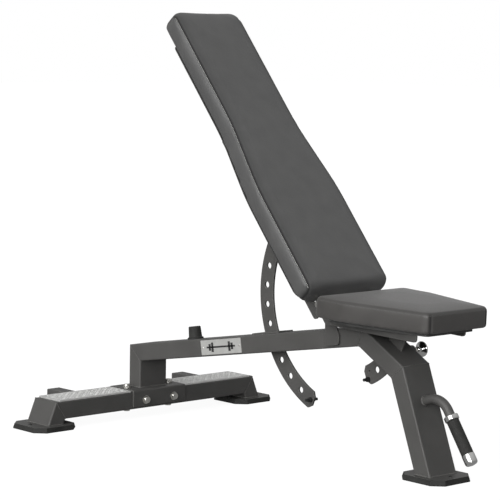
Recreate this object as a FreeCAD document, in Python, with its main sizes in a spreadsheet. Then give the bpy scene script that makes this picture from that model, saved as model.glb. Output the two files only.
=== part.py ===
import FreeCAD, Part
import math
import os
from FreeCAD import Placement, Rotation, Vector

# Adjustable weight bench: a rear crossbar on two feet, a rising main beam on one front leg,
# and a backrest and a seat that share one hinge and are held by pull pins in curved plates.
# Millimetres. X runs to the front foot, Y to the left, Z up. Shapes are drawn with x = 0 over
# the rear crossbar and moved at the end, so that the origin is under the middle of the bench.

doc = FreeCAD.newDocument("WeightBench")

# Driving sizes, one word each. Angles are in degrees.
SIZES = {
    # rectangular frame tube
    "tube_width": 100, "tube_depth": 50, "tube_wall": 3, "tube_round": 4,
    # main frame, side view
    "post_top": 207.3, "beam_rise": 9.8, "shoulder_start": 904, "shoulder_fall": 29.5,
    "shoulder_end": 1036.4, "leg_lean": 21,
    # rear crossbar, its end legs, its saddle and its tread plates
    "crossbar_underside": 28, "crossbar_half": 370, "end_leg_splay": 22.5,
    "saddle_half": 97, "saddle_thick": 5, "saddle_skirt": 48, "saddle_front_bolt": 52,
    "saddle_top_bolt": 78, "tread_gap": 5, "tread_end": 14, "tread_width": 96, "tread_thick": 4,
    # feet
    "foot_long": 148, "foot_wide": 146, "foot_cut": 27, "foot_height": 14, "foot_plate_thick": 6,
    "foot_rim": 4, "foot_screw_reach": 49,
    # transport wheels
    "wheel_place": 235, "wheel_diameter": 62, "wheel_width": 24, "wheel_back": 60,
    "wheel_height": 39, "fork_wall": 4, "fork_width": 40, "fork_length": 95, "fork_depth": 54,
    "wheel_axle": 10,
    # hinge that the backrest and the seat share
    "hinge_x": 806, "hinge_height": 415, "hinge_bolt": 12, "ear_round": 15, "ear_thick": 5,
    "pivot_thick": 6, "pivot_foot": 51, "pivot_neck": 37, "sleeve_diameter": 24,
    # backrest
    "back_angle": 50, "back_face": 36.6, "back_pad_thick": 50.3, "back_panel_thick": 3,
    "pad_edge": 8, "back_start": 17, "back_end": 947, "back_head_half": 124, "back_low_half": 151.5,
    "back_flare_start": 345, "back_flare_end": 545, "back_panel_end": 864,
    "back_rail_out": 98, "back_rail_depth": 26, "back_rail_end": 560, "rail_flange": 30,
    "screw_grip": 10, "back_cross_in": 2, "cross_width": 50, "back_cross_depth": 20,
    # curved plate of the backrest, with its row of pin holes
    "back_pin_place": 536.375, "arc_width": 50, "arc_thick": 6, "hole_play": 1.5, "hole_pitch": 10,
    "arc_tail": 40.3, "slot_play": 1,
    # seat
    "seat_droop": 1.7, "seat_face": 32, "seat_pad_thick": 53, "seat_board_thick": 11,
    "seat_start": 42, "seat_end": 391, "seat_wide_half": 166, "seat_narrow_half": 112.5,
    "seat_taper_start": 146, "seat_board_inset": 26, "seat_rail_out": 92, "seat_rail_depth": 19,
    "seat_rail_end": 334, "seat_cross_in": 1.5, "seat_cross_depth": 15,
    # curved plate of the seat
    "seat_pin_place": 971.416, "selector_width": 51, "selector_thick": 6, "selector_tail": 33,
    # pull pins
    "pin_diameter": 16, "pin_travel": 14, "pin_play": 1.5, "housing_diameter": 27,
    "housing_length": 28, "pin_rod": 10, "knob_diameter": 41, "knob_length": 23,
    # handle on the front leg
    "handle_tube": 25, "handle_bend": 52, "handle_first": 59, "handle_height": 192.6,
    "handle_turn": 76.5, "grip_diameter": 32, "grip_length": 92, "grip_start": 70,
    "collar_length": 14, "cap_length": 30,
    # bumper, badge and slot plate on the beam
    "bumper_place": 213.5, "bumper_base": 46, "bumper_low": 38, "bumper_top": 34,
    "bumper_height": 36, "badge_place": 373, "badge_long": 166, "badge_high": 41,
    "badge_thick": 1.2, "slot_plate_long": 106, "slot_plate_wide": 60, "slot_plate_thick": 4,
}
sheet = doc.addObject("Spreadsheet::Sheet", "Sizes")
for row, (word, value) in enumerate(SIZES.items(), start=1):
    sheet.set(f"A{row}", word)
    sheet.set(f"B{row}", str(value))
    sheet.setAlias(f"B{row}", word)
doc.recompute()


def size(word):
    """The value of one cell, read back from the sheet."""
    return float(sheet.get(word))


def cell(word):
    """The expression that binds a property to one cell."""
    return f"Sizes.{word}"


def sin(angle):
    return math.sin(math.radians(angle))


def cos(angle):
    return math.cos(math.radians(angle))


def tan(angle):
    return math.tan(math.radians(angle))


# ---------------------------------------------------------------- layout worked out from the sizes
WIDTH = size("tube_width")
DEPTH = size("tube_depth")
WALL = size("tube_wall")
HALF = WIDTH / 2
CROSSBAR_TOP = size("crossbar_underside") + DEPTH
SADDLE_TOP = CROSSBAR_TOP + size("saddle_thick")
FOOT_TOP = size("foot_height")
RISE = size("beam_rise")
HINGE = Vector(size("hinge_x"), 0, size("hinge_height"))


def along(point, angle, reach):
    """The point at a distance from another, in a direction of the side view."""
    return Vector(point.x + reach * cos(angle), point.y, point.z + reach * sin(angle))


def meet(first, first_angle, second, second_angle):
    """Where two lines of the side view cross."""
    turn = sin(second_angle - first_angle)
    gap = second - first
    reach = (gap.x * sin(second_angle) - gap.z * cos(second_angle)) / turn
    return along(first, first_angle, reach)


def on_circle(start, angle, centre, radius, side):
    """Where a line of the side view crosses a circle: side -1 is the first crossing, 1 the last."""
    gap = centre - start
    middle = gap.x * cos(angle) + gap.z * sin(angle)
    clear = gap.z * cos(angle) - gap.x * sin(angle)
    return along(start, angle, middle + side * math.sqrt(radius**2 - clear**2))


def polar(point, centre):
    """Direction from a centre to a point of the side view, in degrees."""
    return math.degrees(math.atan2(point.z - centre.z, point.x - centre.x))


# Centre lines of the beam, the shoulder and the leg.
beam_start = Vector(0, 0, size("post_top") - DEPTH / 2 / cos(RISE))
shoulder_start = along(beam_start, RISE, size("shoulder_start") / cos(RISE))
FALL = -size("shoulder_fall")
shoulder_end = along(shoulder_start, FALL, (size("shoulder_end") - shoulder_start.x) / cos(FALL))
LEAN = size("leg_lean") - 90
leg_foot = meet(shoulder_end, LEAN, Vector(0, 0, FOOT_TOP), 0)
FOOT_X = leg_foot.x + 2
# The pull pins sit on the centre lines of the tubes that the curved plates pass through, and each
# plate curves round the hinge at its pin's distance.
back_pin = along(beam_start, RISE, size("back_pin_place") / cos(RISE))
seat_pin = along(shoulder_start, FALL, (size("seat_pin_place") - shoulder_start.x) / cos(FALL))
ARC_RADIUS = (back_pin - HINGE).Length
SELECTOR_RADIUS = (seat_pin - HINGE).Length
# The crossbar's end legs stand on the rear feet.
SPLAY = size("end_leg_splay")
END_INNER = size("crossbar_half") - DEPTH * tan((90 - SPLAY) / 2)
END_DROP = CROSSBAR_TOP - FOOT_TOP
END_OUT = size("crossbar_half") + END_DROP * tan(SPLAY)
END_IN = END_INNER + (size("crossbar_underside") - FOOT_TOP) * tan(SPLAY)
REAR_FOOT_Y = (END_OUT + END_IN) / 2 + 4


# ---------------------------------------------------------------- helpers that make the pieces
parts = []


def keep(thing, label, base=Vector(0, 0, 0), turn=None):
    """Names a finished piece, places it and puts it on the list of parts."""
    thing.Label = label
    thing.Placement = Placement(base, turn or Rotation())
    parts.append(thing)
    return thing


def rounded(points):
    """Lines and tangent arcs of a closed outline. A point is (x, y) or (x, y, corner radius)."""
    corners = [Vector(point[0], point[1], 0) for point in points]
    radii = [point[2] if len(point) > 2 else 0 for point in points]
    ends = []
    edges = []
    for index, corner in enumerate(corners):
        back = (corners[index - 1] - corner).normalize()
        ahead = (corners[(index + 1) % len(corners)] - corner).normalize()
        if radii[index] == 0:
            ends.append((corner, corner))
            continue
        half = back.getAngle(ahead) / 2
        reach = radii[index] / math.tan(half)
        middle = (back + ahead).normalize() * (radii[index] / math.sin(half) - radii[index])
        first = corner + back * reach
        last = corner + ahead * reach
        edges.append(Part.Arc(first, corner + middle, last))
        ends.append((first, last))
    for index in range(len(corners)):
        start = ends[index][1]
        stop = ends[(index + 1) % len(corners)][0]
        if (stop - start).Length > 0.001:
            edges.append(Part.LineSegment(start, stop))
    return edges


def disc(x, y, diameter):
    return [Part.Circle(Vector(x, y, 0), Vector(0, 0, 1), diameter / 2)]


def ring_sector(centre, radius, band, start, stop):
    """A band of a circle between two directions, for a sketch of the side view."""
    middle = Vector(centre.x, centre.z, 0)
    inner = radius - band / 2
    outer = radius + band / 2

    def at(reach, angle):
        return middle + Vector(reach * cos(angle), reach * sin(angle), 0)

    half = (start + stop) / 2
    return [
        Part.Arc(at(outer, start), at(outer, half), at(outer, stop)),
        Part.LineSegment(at(outer, stop), at(inner, stop)),
        Part.Arc(at(inner, stop), at(inner, half), at(inner, start)),
        Part.LineSegment(at(inner, start), at(outer, start)),
    ]


class Piece:
    """A PartDesign body that is built up from sketches on its own origin planes."""

    def __init__(self, label):
        self.label = label
        self.body = doc.addObject("PartDesign::Body", label)

    def sketch(self, plane, edges):
        sketch = self.body.newObject("Sketcher::SketchObject", f"{self.label}_sketch")
        for feature in self.body.Origin.OriginFeatures:
            if feature.Role == plane:
                sketch.AttachmentSupport = [(feature, "")]
        sketch.MapMode = "FlatFace"
        sketch.addGeometry(edges)
        return sketch

    def lift(self, sketch, offset):
        """Moves a sketch along its plane's normal."""
        sketch.AttachmentOffset = Placement(Vector(0, 0, offset), Rotation())

    def pad(self, plane, edges, length, offset=0.0, both=False):
        """Adds material. length is an expression on the sheet; both centres it on the plane."""
        sketch = self.sketch(plane, edges)
        self.lift(sketch, offset)
        pad = self.body.newObject("PartDesign::Pad", f"{self.label}_pad")
        pad.Profile = sketch
        pad.SideType = "Symmetric" if both else "One side"
        pad.setExpression("Length", length)
        doc.recompute()
        return self

    def pocket(self, plane, edges, length, offset=0.0, both=True):
        """Takes material away, against the plane's normal, and makes sure that some was taken."""
        before = self.body.Shape.Volume
        sketch = self.sketch(plane, edges)
        self.lift(sketch, offset)
        pocket = self.body.newObject("PartDesign::Pocket", f"{self.label}_pocket")
        pocket.Profile = sketch
        pocket.SideType = "Symmetric" if both else "One side"
        pocket.setExpression("Length", length)
        doc.recompute()
        if self.body.Shape.Volume >= before:
            raise ValueError(f"a pocket of {self.label} cuts nothing")
        return self

    def revolve(self, plane, edges, axis="H_Axis"):
        sketch = self.sketch(plane, edges)
        turned = self.body.newObject("PartDesign::Revolution", f"{self.label}_revolution")
        turned.Profile = sketch
        turned.ReferenceAxis = (sketch, [axis])
        turned.Angle = 360
        doc.recompute()
        return self

    def fillet(self, radius, wanted):
        """Rounds the edges that a test picks out."""
        solid = self.body.Shape
        names = [f"Edge{i}" for i, edge in enumerate(solid.Edges, start=1) if wanted(edge)]
        base = self.body.Tip
        fillet = self.body.newObject("PartDesign::Fillet", f"{self.label}_fillet")
        fillet.Base = (base, names)
        fillet.setExpression("Radius", radius)
        doc.recompute()
        return self

    def place(self, base=Vector(0, 0, 0), turn=None):
        return keep(self.body, self.label, base, turn)


def on_skin(edge, axis, reach):
    """True for a straight edge that lies on one of the two flat sides of a piece."""
    if not isinstance(edge.Curve, Part.Line):
        return False
    return all(abs(abs(getattr(end.Point, axis)) - reach) < 0.01 for end in edge.Vertexes)


def tube(label, outline, bore, plane="XZ_Plane", side="y"):
    """A rectangular tube: its outline is padded to the tube's width, rounded and bored out.

    The outline starts with one of its two long sides.
    """
    piece = Piece(label)
    piece.pad(plane, rounded(outline), cell("tube_width"), both=True)
    run = Vector(outline[1][0] - outline[0][0], outline[1][1] - outline[0][1], 0).normalize()
    run = Vector(run.x, 0, run.y) if side == "y" else Vector(0, run.x, run.y)

    def long_edge(edge):
        return on_skin(edge, side, HALF) and abs(edge.tangentAt(edge.FirstParameter).dot(run)) > 0.999

    piece.fillet(cell("tube_round"), long_edge)
    piece.pocket(plane, rounded(bore), "Sizes.tube_width - 2 * Sizes.tube_wall")
    return piece


def flat(point):
    """Side view point as a sketch point."""
    return (point.x, point.z)


def side_offset(point, angle, distance):
    """A point moved across a direction of the side view."""
    return Vector(point.x - distance * sin(angle), 0, point.z + distance * cos(angle))


def mitred(start, angle, start_cut, stop, stop_cut, gap):
    """Four corners of a tube in side view, cut at both ends along lines, top then bottom."""
    top = side_offset(start, angle, gap)
    bottom = side_offset(start, angle, -gap)
    return [
        flat(meet(start, start_cut, bottom, angle)),
        flat(meet(stop, stop_cut, bottom, angle)),
        flat(meet(stop, stop_cut, top, angle)),
        flat(meet(start, start_cut, top, angle)),
    ]


def frame_tube(label, start, angle, start_cut, stop, stop_cut):
    """A tube of the main frame between two cuts, bored right through."""
    outline = mitred(start, angle, start_cut, stop, stop_cut, DEPTH / 2)
    before = along(start, angle, -DEPTH)
    after = along(stop, angle, DEPTH)
    bore = mitred(before, angle, start_cut, after, stop_cut, DEPTH / 2 - WALL)
    return tube(label, outline, bore)


# ---------------------------------------------------------------- main frame tubes
post_mitre = (RISE + 90) / 2 + 90
shoulder_mitre = (RISE + FALL) / 2 + 90
leg_mitre = (FALL + LEAN) / 2 + 90
post_corner = meet(Vector(0, 0, 0), 90, beam_start, RISE)

post = frame_tube("main_post", Vector(0, 0, SADDLE_TOP), 90, 0, post_corner, post_mitre)
post.place()

beam = frame_tube("main_beam", post_corner, RISE, post_mitre, shoulder_start, shoulder_mitre)
arc_slot = size("arc_width") + 2 * size("slot_play")
pin_angle = polar(back_pin, HINGE)
# Half of the sweep that cuts each slot right through its tube.
BACK_SWEEP = 14
SEAT_SWEEP = 22
beam.pocket("XZ_Plane", ring_sector(HINGE, ARC_RADIUS, arc_slot, pin_angle - BACK_SWEEP,
                                    pin_angle + BACK_SWEEP),
            "Sizes.arc_thick + 2 * Sizes.slot_play")
pin_hole = size("pin_diameter") + 0.6
beam.pocket("XZ_Plane", disc(*flat(back_pin), pin_hole), "Sizes.tube_width", both=False)
beam.place()

shoulder = frame_tube("leg_shoulder", shoulder_start, FALL, shoulder_mitre, shoulder_end, leg_mitre)
selector_slot = size("selector_width") + 2 * size("slot_play")
seat_pin_angle = polar(seat_pin, HINGE)
shoulder.pocket("XZ_Plane", ring_sector(HINGE, SELECTOR_RADIUS, selector_slot,
                                        seat_pin_angle - SEAT_SWEEP, seat_pin_angle + SEAT_SWEEP),
                "Sizes.selector_thick + 2 * Sizes.slot_play")
shoulder.pocket("XZ_Plane", disc(*flat(seat_pin), pin_hole), "Sizes.tube_width", both=False)
shoulder.place()

leg = frame_tube("front_leg", shoulder_end, LEAN, leg_mitre, leg_foot, 0)
leg.place()

# ---------------------------------------------------------------- rear crossbar and end legs
UNDER = size("crossbar_underside")
BAR = size("crossbar_half")
crossbar = tube(
    "rear_crossbar",
    [(-END_INNER, UNDER), (END_INNER, UNDER), (BAR, CROSSBAR_TOP), (-BAR, CROSSBAR_TOP)],
    [(-BAR, UNDER + WALL), (BAR, UNDER + WALL), (BAR, CROSSBAR_TOP - WALL), (-BAR, CROSSBAR_TOP - WALL)],
    plane="YZ_Plane", side="x")
# Bolt holes: two rows along X through the front and back walls, one row straight down.
BOLT_HOLE = 12.6
SADDLE_MID = CROSSBAR_TOP - DEPTH / 2
front_holes = [disc(side * size("saddle_front_bolt"), SADDLE_MID, BOLT_HOLE)[0] for side in (-1, 1)]
top_holes = [disc(0, side * size("saddle_top_bolt"), BOLT_HOLE)[0] for side in (-1, 1)]
crossbar.pocket("YZ_Plane", front_holes, "Sizes.tube_width + 40")
crossbar.pocket("XY_Plane", top_holes, "Sizes.tube_width * 4")
crossbar.place()

for side, name in ((-1, "right"), (1, "left")):
    outline = [(side * END_INNER, UNDER), (side * END_IN, FOOT_TOP),
               (side * END_OUT, FOOT_TOP), (side * BAR, CROSSBAR_TOP)]
    shift = WALL / cos(SPLAY)
    run = tan(SPLAY) * DEPTH
    bore = [(side * (END_IN + shift + run), FOOT_TOP - DEPTH),
            (side * (END_OUT - shift + run), FOOT_TOP - DEPTH),
            (side * (END_OUT - shift - 3 * run), FOOT_TOP + 3 * DEPTH),
            (side * (END_IN + shift - 3 * run), FOOT_TOP + 3 * DEPTH)]
    end_leg = tube(f"rear_leg_{name}", outline, bore, plane="YZ_Plane", side="x")
    end_leg.place()

# ---------------------------------------------------------------- saddle, its bolts, tread plates
OUTER = HALF + size("saddle_thick")
SKIRT = SADDLE_TOP - size("saddle_skirt")
saddle = Piece("rear_saddle")
saddle.pad("XZ_Plane", rounded([
    (-OUTER, SKIRT), (-HALF, SKIRT), (-HALF, CROSSBAR_TOP), (HALF, CROSSBAR_TOP),
    (HALF, SKIRT), (OUTER, SKIRT), (OUTER, SADDLE_TOP, 5), (-OUTER, SADDLE_TOP, 5)]),
    "2 * Sizes.saddle_half", both=True)
saddle.pocket("YZ_Plane", front_holes, "Sizes.tube_width + 40")
saddle.pocket("XY_Plane", top_holes, "Sizes.tube_width * 4")
saddle.place()

BOLT = 12
HEAD_FLATS = 19
WASHER = 2.5
NUT = 10
NUT_PLAY = 0.1


def hexagon(flats, height, hole=0.0):
    """A hexagon head or nut standing on z = 0."""
    reach = flats / 2 / cos(30)
    corners = [Vector(reach * cos(60 * i), reach * sin(60 * i), 0) for i in range(7)]
    head = Part.Face(Part.makePolygon(corners)).extrude(Vector(0, 0, height))
    crown = Part.makeCone(flats * 0.62, flats * 0.47, height)
    head = head.common(crown)
    return head.cut(Part.makeCylinder(hole / 2, height)) if hole else head


def bolt(length, diameter=BOLT, flats=HEAD_FLATS):
    """A hexagon bolt: the head stands on z = 0 and the shank hangs below it."""
    shank = Part.makeCylinder(diameter / 2, length, Vector(0, 0, -length))
    return hexagon(flats, diameter * 0.62).fuse(shank).removeSplitter()


def washer(diameter=24, hole=BOLT + 0.6, thick=WASHER):
    return Part.makeCylinder(diameter / 2, thick).cut(Part.makeCylinder(hole / 2, thick))


def moved(shape, base, turn=None):
    copy = shape.copy()
    copy.Placement = Placement(base, turn or Rotation())
    return copy


def group(label, solids):
    """Identical fasteners in one node, each a solid of its own."""
    feature = doc.addObject("Part::Feature", label)
    feature.Shape = Part.makeCompound(solids)
    return keep(feature, label)


FORWARD = Rotation(Vector(0, 1, 0), 90)
BACKWARD = Rotation(Vector(0, 1, 0), -90)
DOWN = Rotation(Vector(1, 0, 0), 180)
TO_RIGHT = Rotation(Vector(1, 0, 0), 90)
TO_LEFT = Rotation(Vector(1, 0, 0), -90)
heads = []
nuts = []
washers = []
for side in (-1, 1):
    front = Vector(OUTER, side * size("saddle_front_bolt"), SADDLE_MID)
    back = Vector(-OUTER, front.y, front.z)
    top = Vector(0, side * size("saddle_top_bolt"), SADDLE_TOP)
    low = Vector(0, top.y, UNDER)
    through = 2 * OUTER + 2 * WASHER + NUT + 1
    down = SADDLE_TOP - UNDER + 2 * WASHER + NUT
    heads.append(moved(bolt(through), front + Vector(WASHER, 0, 0), FORWARD))
    heads.append(moved(bolt(down), top + Vector(0, 0, WASHER)))
    nuts.append(moved(hexagon(HEAD_FLATS, NUT, BOLT + NUT_PLAY), back - Vector(WASHER, 0, 0), BACKWARD))
    nuts.append(moved(hexagon(HEAD_FLATS, NUT, BOLT + NUT_PLAY), low - Vector(0, 0, WASHER), DOWN))
    washers.append(moved(washer(), front, FORWARD))
    washers.append(moved(washer(), back, BACKWARD))
    washers.append(moved(washer(), top))
    washers.append(moved(washer(), low, DOWN))
group("saddle_bolts", heads)
group("saddle_nuts", nuts)
group("saddle_washers", washers)

TREAD_IN = size("saddle_half") + size("tread_gap")
TREAD_OUT = BAR - size("tread_end")
treads = []
for side in (-1, 1):
    tread = doc.addObject("Part::Box", "tread")
    tread.setExpression("Length", cell("tread_width"))
    tread.setExpression(
        "Width", "Sizes.crossbar_half - Sizes.tread_end - (Sizes.saddle_half + Sizes.tread_gap)")
    tread.setExpression("Height", cell("tread_thick"))
    near = TREAD_IN if side > 0 else -TREAD_OUT
    tread.Placement.Base = Vector(-size("tread_width") / 2, near, CROSSBAR_TOP)
    treads.append(tread)
tread_pair = doc.addObject("Part::Compound", "tread_plates")
tread_pair.Links = treads
keep(tread_pair, "tread_plates")


# ---------------------------------------------------------------- feet
def octagon(inset, height):
    """Foot outline with cut corners, as a wire at a height."""
    long = size("foot_long") / 2 - inset
    wide = size("foot_wide") / 2 - inset
    cut = size("foot_cut") - inset * tan(22.5)
    corners = [(long, wide - cut), (long - cut, wide), (cut - long, wide), (-long, wide - cut),
               (-long, cut - wide), (cut - long, -wide), (long - cut, -wide), (long, cut - wide)]
    return Part.makePolygon([Vector(x, y, height) for x, y in corners + corners[:1]])


def foot_shapes():
    """Steel plate and the moulded boot that holds it like a tray."""
    top = size("foot_height")
    seat = top - size("foot_plate_thick")
    rim = size("foot_rim")
    low = Part.makeLoft([octagon(0.6, 0), octagon(0, 2.5)], True)
    high = Part.makeLoft([octagon(0, 2.5), octagon(rim - 0.5, top)], True)
    tray = Part.Face(octagon(rim + 0.7, seat)).extrude(Vector(0, 0, top - seat + 1))
    boot = low.fuse(high).removeSplitter().cut(tray)
    plate = Part.Face(octagon(rim + 1, seat)).extrude(Vector(0, 0, top - seat))
    return boot, plate


SCREW = 6
boot_shape, plate_shape = foot_shapes()
feet = {"rear_right": Vector(0, -REAR_FOOT_Y, 0), "rear_left": Vector(0, REAR_FOOT_Y, 0),
        "front": Vector(FOOT_X, 0, 0)}
plates = []
screws = []
for name, centre in feet.items():
    across = Vector(1, 0, 0) if name == "front" else Vector(0, 1, 0)
    across = across * size("foot_screw_reach")
    holes = [Part.makeCylinder(SCREW / 2 + 0.2, 60, across * side + Vector(0, 0, 3)) for side in (-1, 1)]
    boot = doc.addObject("Part::Feature", f"foot_boot_{name}")
    boot.Shape = boot_shape.cut(holes[0]).cut(holes[1])
    keep(boot, f"foot_boot_{name}", centre)
    plates.append(moved(plate_shape.cut(holes[0]).cut(holes[1]), centre))
    for side in (-1, 1):
        head = Part.makeSphere(SCREW * 1.05, Vector(0, 0, -2.6)).common(Part.makeCylinder(20, 10))
        shank = Part.makeCylinder(SCREW / 2, FOOT_TOP - 3.5, Vector(0, 0, 3.5 - FOOT_TOP))
        place = centre + across * side + Vector(0, 0, FOOT_TOP)
        screws.append(moved(head.fuse(shank).removeSplitter(), place))
group("foot_plates", plates)
group("foot_screws", screws)

# ---------------------------------------------------------------- transport wheels
AXLE_X = -HALF - size("wheel_back")
AXLE_Z = size("wheel_height")
FORK_OUT = size("fork_width") / 2
FORK_IN = FORK_OUT - size("fork_wall")
FORK_REAR = -HALF - size("fork_length")
for side, name in ((-1, "right"), (1, "left")):
    centre = side * size("wheel_place")
    fork = Piece(f"wheel_fork_{name}")
    low = CROSSBAR_TOP - size("fork_depth")
    fork.pad("XZ_Plane", rounded([
        (-HALF, low + 20), (-HALF, CROSSBAR_TOP), (FORK_REAR, CROSSBAR_TOP, 4),
        (FORK_REAR, low + 12, 10), (AXLE_X - 14, low, 12), (AXLE_X + 14, low, 12)]),
        cell("fork_width"), both=True)
    fork.pocket("XZ_Plane", rounded([
        (-HALF + 5, low - 5), (-HALF + 5, CROSSBAR_TOP - size("fork_wall")),
        (FORK_REAR - 5, CROSSBAR_TOP - size("fork_wall")), (FORK_REAR - 5, low - 5)]),
        "Sizes.fork_width - 2 * Sizes.fork_wall")
    fork.pocket("XZ_Plane", disc(AXLE_X, AXLE_Z, size("wheel_axle") + 0.3), "Sizes.fork_width + 20")
    fork.place(Vector(0, centre, 0))
    wheel = Piece(f"transport_wheel_{name}")
    radius = size("wheel_diameter") / 2
    half = size("wheel_width") / 2
    bore = size("wheel_axle") / 2 + 0.05
    wheel.revolve("XZ_Plane", rounded([
        (-half - 2, bore), (-half - 2, 12), (-half + 3, 14), (-half + 3, radius - 9), (-half, radius - 7),
        (-half, radius, 5), (half, radius, 5), (half, radius - 7), (half - 3, radius - 9), (half - 3, 14),
        (half + 2, 12), (half + 2, bore)]))
    wheel.place(Vector(AXLE_X, centre, AXLE_Z), Rotation(Vector(0, 0, 1), 90))
axles = []
for side in (-1, 1):
    pin = Part.makeCylinder(size("wheel_axle") / 2, size("fork_width") + 3, Vector(0, 0, -FORK_OUT - 3))
    rivet = Part.makeCylinder(9, 3, Vector(0, 0, FORK_OUT))
    tail = Part.makeCylinder(8, 3, Vector(0, 0, -FORK_OUT - 3))
    axle = pin.fuse([rivet, tail]).removeSplitter()
    axles.append(moved(axle, Vector(AXLE_X, side * size("wheel_place"), AXLE_Z), TO_LEFT))
group("wheel_axles", axles)

# ---------------------------------------------------------------- beam fittings
beam_top = side_offset(beam_start, RISE, DEPTH / 2)


def on_beam(x, lift=0.0):
    """A point over the beam's top face, lifted square to it."""
    return side_offset(along(beam_top, RISE, x / cos(RISE)), RISE, lift)


ALONG_BEAM = Rotation(Vector(0, 1, 0), -RISE)
bumper = Piece("rubber_bumper")
low = size("bumper_low") / 2
bumper.revolve("XZ_Plane", rounded([
    (0, 0), (size("bumper_base") / 2, 0), (size("bumper_base") / 2, 4, 1.5), (low, 6, 3),
    (size("bumper_top") / 2, size("bumper_height"), 3), (0, size("bumper_height"))]), axis="V_Axis")
bumper.place(on_beam(size("bumper_place")), ALONG_BEAM)

slot_plate = Piece("slot_plate")
slot_middle = (on_circle(beam_top, RISE, HINGE, ARC_RADIUS, -1) - beam_top).dot(
    Vector(cos(RISE), 0, sin(RISE)))
half = size("slot_plate_long") / 2
wide = size("slot_plate_wide") / 2
slot_plate.pad("XY_Plane", rounded([(-half, -wide, 6), (half, -wide, 6), (half, wide, 6), (-half, wide, 6)]),
               cell("slot_plate_thick"))
slot_base = along(beam_top, RISE, slot_middle)
back = Rotation(Vector(0, 1, 0), RISE).multVec(HINGE - slot_base)
slot_plate.pocket("XZ_Plane", ring_sector(back, ARC_RADIUS, arc_slot, pin_angle - BACK_SWEEP - RISE,
                                          pin_angle + BACK_SWEEP - RISE),
                  "Sizes.arc_thick + 2 * Sizes.slot_play")
slot_plate.place(slot_base, ALONG_BEAM)

badge = Piece("badge_plate")
long = size("badge_long") / 2
high = size("badge_high") / 2
rivet_holes = [disc(side * (long - 7), 0, 3.2)[0] for side in (-1, 1)]
badge.pad("XZ_Plane", rounded([(-long, -high, 2), (long, -high, 2), (long, high, 2), (-long, high, 2)])
          + rivet_holes, cell("badge_thick"))
badge_middle = on_beam(size("badge_place"), -DEPTH / 2)
badge.place(Vector(badge_middle.x, -HALF, badge_middle.z), ALONG_BEAM)
rivets = []
for side in (-1, 1):
    spot = along(badge_middle, RISE, side * (long - 7))
    head = Part.makeSphere(4, Vector(0, 0, -2.6)).common(Part.makeCylinder(9, 9))
    shank = Part.makeCylinder(1.5, size("badge_thick"), Vector(0, 0, -size("badge_thick")))
    rivets.append(moved(head.fuse(shank), Vector(spot.x, -HALF - size("badge_thick"), spot.z), TO_RIGHT))
group("badge_rivets", rivets)

# ---------------------------------------------------------------- hinge on the beam
PIVOT = size("pivot_thick")
LEFT_EDGE = -23
neck = LEFT_EDGE + size("pivot_neck")
foot = LEFT_EDGE + size("pivot_foot")
beam_drop = on_beam(HINGE.x).z - HINGE.z
beam_low = beam_drop - DEPTH / cos(RISE)
for side, name in ((-1, "right"), (1, "left")):
    pivot = Piece(f"pivot_plate_{name}")
    pivot.pad("XZ_Plane", rounded([
        (LEFT_EDGE, beam_low + 8 + LEFT_EDGE * tan(RISE), 8), (foot, beam_low + 8 + foot * tan(RISE), 10),
        (foot, beam_drop - 12, 16), (neck, beam_drop + 14, 24), (16, -20, 10), (16, 16, 15.9),
        (-16, 16, 15.9), (-16, -20, 10), (LEFT_EDGE, -34, 12)])
        + disc(0, 0, size("hinge_bolt") + 0.1), cell("pivot_thick"), both=True)
    pivot.place(HINGE + Vector(0, side * (HALF + PIVOT / 2), 0))


def ring(label, inner, outer, start, length):
    """A sleeve along Y around the hinge line."""
    sleeve = Piece(label)
    sleeve.pad("XZ_Plane", disc(0, 0, outer) + disc(0, 0, inner), f"{length}", both=True)
    return sleeve.place(HINGE + Vector(0, start + length / 2, 0))


BOLT_BORE = size("hinge_bolt") + 0.1
ring("pivot_sleeve", BOLT_BORE, size("sleeve_diameter"), -HALF, WIDTH)
EAR = size("ear_thick")
SEAT_IN = size("seat_rail_out") - EAR
BACK_IN = size("back_rail_out") - EAR
spacer_length = SEAT_IN - HALF - PIVOT - 0.3
spacers = []
for side in (-1, 1):
    spacer = Part.makeCylinder(size("sleeve_diameter") / 2 - 1, spacer_length)
    spacer = spacer.cut(Part.makeCylinder(BOLT_BORE / 2, spacer_length))
    turn = TO_RIGHT if side < 0 else TO_LEFT
    spacers.append(moved(spacer, HINGE + Vector(0, side * (HALF + PIVOT), 0), turn))
group("hinge_spacers", spacers)
reach = size("back_rail_out") + 0.3 + WASHER
pivot_bolt = bolt(2 * reach + NUT + 1, size("hinge_bolt"))
group("hinge_bolt", [moved(pivot_bolt, HINGE - Vector(0, reach, 0), TO_RIGHT)])
pivot_nut = hexagon(HEAD_FLATS, NUT, size("hinge_bolt") + NUT_PLAY)
group("hinge_nut", [moved(pivot_nut, HINGE + Vector(0, reach, 0), TO_LEFT)])
group("hinge_washers", [
    moved(washer(hole=BOLT_BORE), HINGE + Vector(0, side * (reach - WASHER), 0), turn)
    for side, turn in ((-1, TO_RIGHT), (1, TO_LEFT))])

# ---------------------------------------------------------------- handle on the front leg
leg_front = side_offset(shoulder_end, LEAN, DEPTH / 2)
handle_root = meet(leg_front, LEAN, Vector(0, 0, size("handle_height")), 0)
HANDLE_OUT = LEAN + 90
HANDLE_TURN = size("handle_turn")
HANDLE_DOWN = HANDLE_OUT - HANDLE_TURN
bend_reach = size("handle_bend") * tan(HANDLE_TURN / 2)
bend_start = along(handle_root, HANDLE_OUT, size("handle_first") - bend_reach)
corner = along(handle_root, HANDLE_OUT, size("handle_first"))
bend_middle = side_offset(bend_start, HANDLE_OUT, -size("handle_bend"))
bend_stop = along(corner, HANDLE_DOWN, bend_reach)
bend_half = along(bend_middle, HANDLE_OUT + 90 - HANDLE_TURN / 2, size("handle_bend"))
grip_start = size("grip_start")
grip_end = grip_start + size("grip_length")
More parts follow.
